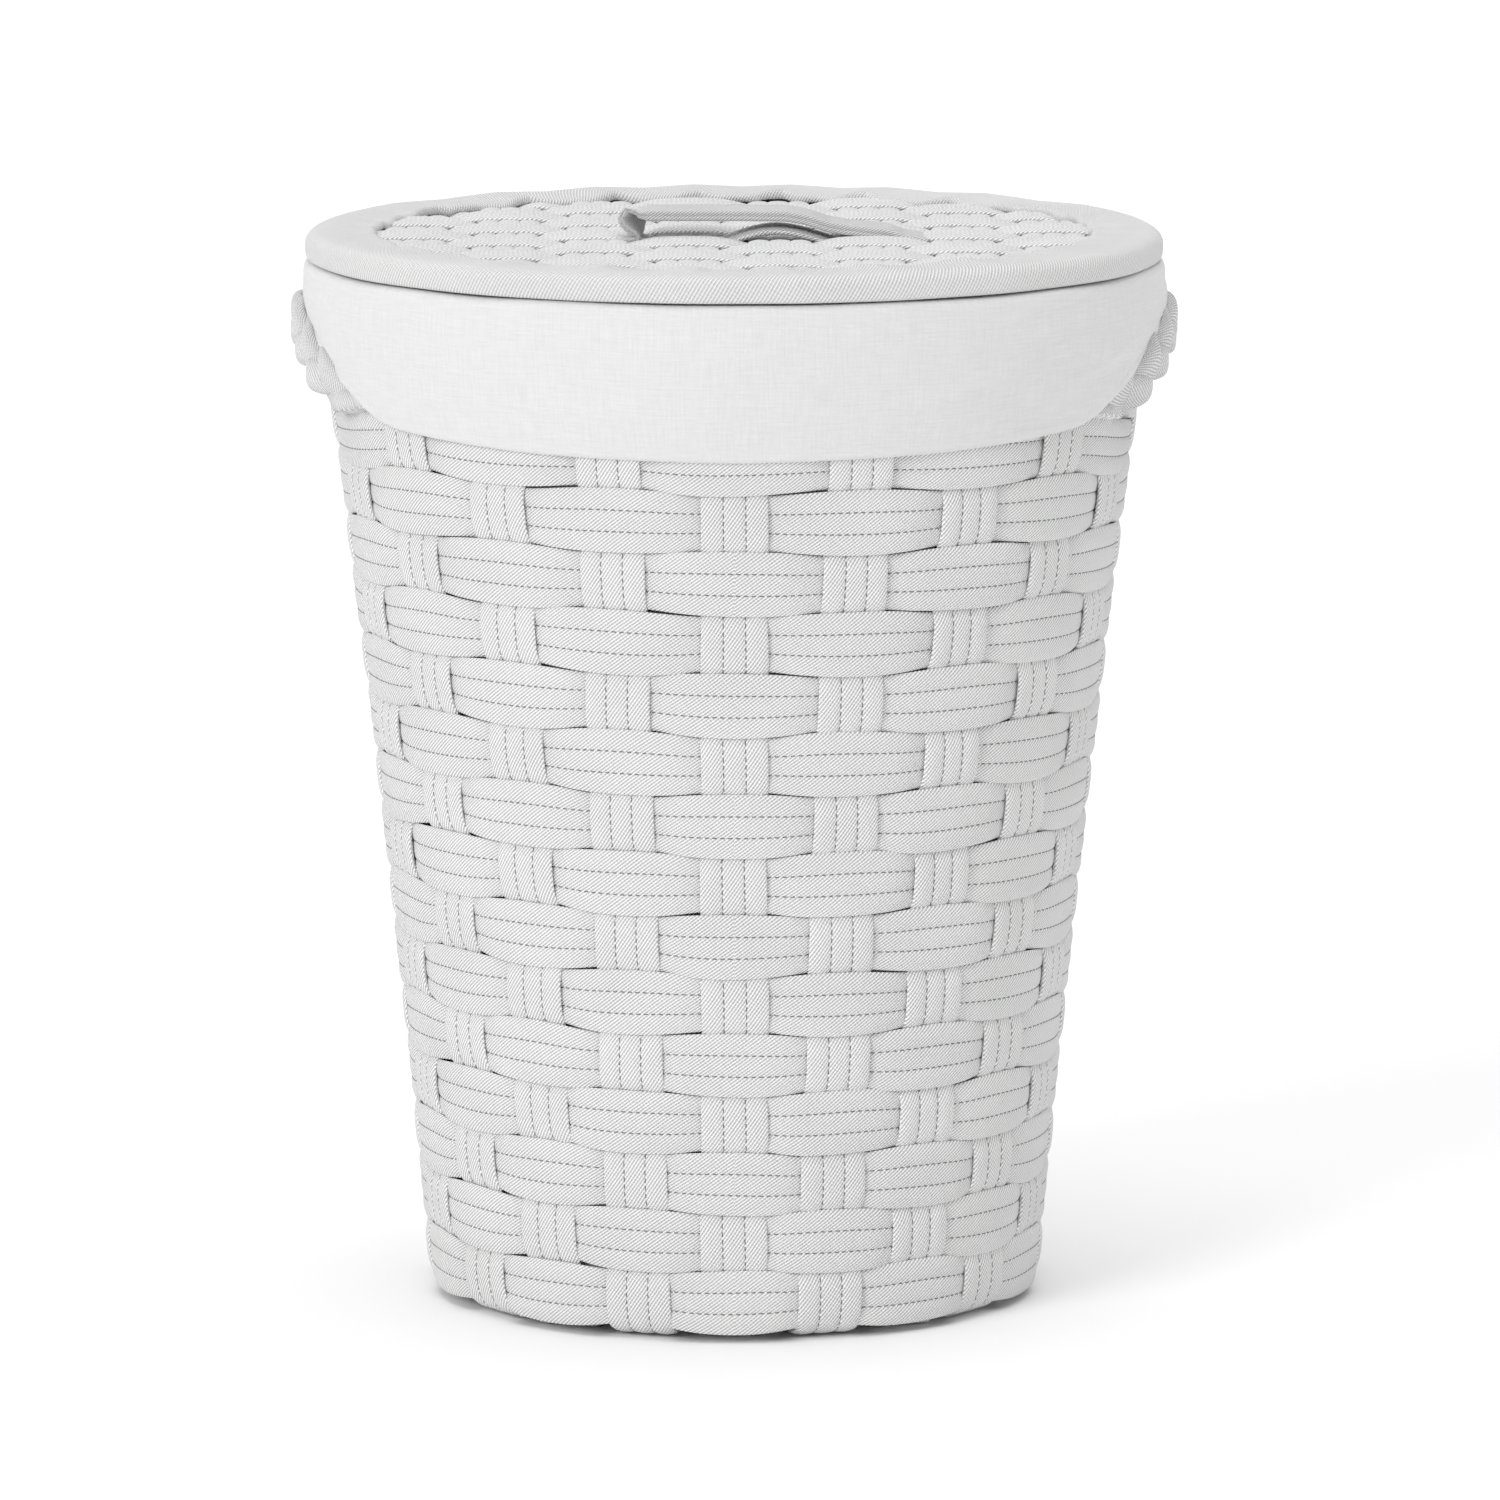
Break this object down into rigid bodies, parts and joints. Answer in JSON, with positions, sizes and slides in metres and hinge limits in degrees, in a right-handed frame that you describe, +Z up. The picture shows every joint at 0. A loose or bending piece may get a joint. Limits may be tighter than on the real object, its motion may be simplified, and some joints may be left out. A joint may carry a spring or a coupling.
{
  "type": "laundry hamper",
  "caption": "Round tapered laundry hamper woven from quilted fabric straps, with a folded cotton liner, braided side handles and a woven lift-off lid with a strap handle.",
  "frame": {"origin": "centre of the base, on the floor", "axes": "+Z up through the lid; the front faces -Y; the side handles are at -X and +X"},
  "size_m": [0.4446, 0.4316, 0.5484],
  "materials": {
    "weaver_canvas": "matte",
    "stake_canvas": "matte",
    "binding_twill": "matte",
    "braid_twill": "matte",
    "liner_cotton": "matte",
    "hoop_wire": "satin"
  },
  "bodies": {
    "basket": {"weaver_01": "weaver_canvas", "weaver_02": "weaver_canvas", "weaver_03": "weaver_canvas", "weaver_04": "weaver_canvas", "weaver_05": "weaver_canvas", "weaver_06": "weaver_canvas", "weaver_07": "weaver_canvas", "weaver_08": "weaver_canvas", "weaver_09": "weaver_canvas", "weaver_10": "weaver_canvas", "weaver_11": "weaver_canvas", "weaver_12": "weaver_canvas", "weaver_13": "weaver_canvas", "weaver_14": "weaver_canvas", "weaver_15": "weaver_canvas", "weaver_16": "weaver_canvas", "front_back_strap_1": "stake_canvas", "front_back_strap_2": "stake_canvas", "front_back_strap_3": "stake_canvas", "front_back_strap_4": "stake_canvas", "front_back_strap_5": "stake_canvas", "left_right_strap_1": "stake_canvas", "left_right_strap_2": "stake_canvas", "left_right_strap_3": "stake_canvas", "left_right_strap_4": "stake_canvas", "left_right_strap_5": "stake_canvas", "rim_hoop": "hoop_wire", "rim_binding": "binding_twill", "liner_floor": "liner_cotton", "liner_wall": "liner_cotton", "liner_cuff": "liner_cotton", "handle_tails": "braid_twill"},
    "lid": {"lid_hoop": "hoop_wire", "lid_binding": "binding_twill", "lid_handle": "weaver_canvas", "lid_rib_1": "stake_canvas", "lid_rib_2": "stake_canvas", "lid_rib_3": "stake_canvas", "lid_rib_4": "stake_canvas", "lid_rib_5": "stake_canvas", "lid_rib_6": "stake_canvas", "lid_rib_7": "stake_canvas", "lid_rib_8": "stake_canvas", "lid_cross_strap_01": "weaver_canvas", "lid_cross_strap_02": "weaver_canvas", "lid_cross_strap_03": "weaver_canvas", "lid_cross_strap_04": "weaver_canvas", "lid_cross_strap_05": "weaver_canvas", "lid_cross_strap_06": "weaver_canvas", "lid_cross_strap_07": "weaver_canvas", "lid_cross_strap_08": "weaver_canvas", "lid_cross_strap_09": "weaver_canvas", "lid_cross_strap_10": "weaver_canvas", "lid_cross_strap_11": "weaver_canvas"},
    "handle_left": {"handle_left_strand_1": "braid_twill", "handle_left_strand_2": "braid_twill", "handle_left_strand_3": "braid_twill"},
    "handle_right": {"handle_right_strand_1": "braid_twill", "handle_right_strand_2": "braid_twill", "handle_right_strand_3": "braid_twill"}
  },
  "joints": [
    {"name": "lid_lift", "type": "slide", "parent": "basket", "child": "lid", "axis": [0, 0, 1], "range_m": [0, 0.42]},
    {"name": "handle_left_bend", "type": "hinge", "parent": "basket", "child": "handle_left", "pos_m": [-0.1896, 0, 0.4595], "axis": [0, -1, 0], "range_deg": [0, 70]},
    {"name": "handle_right_bend", "type": "hinge", "parent": "basket", "child": "handle_right", "pos_m": [0.1896, 0, 0.4595], "axis": [0, 1, 0], "range_deg": [0, 70]}
  ]
}
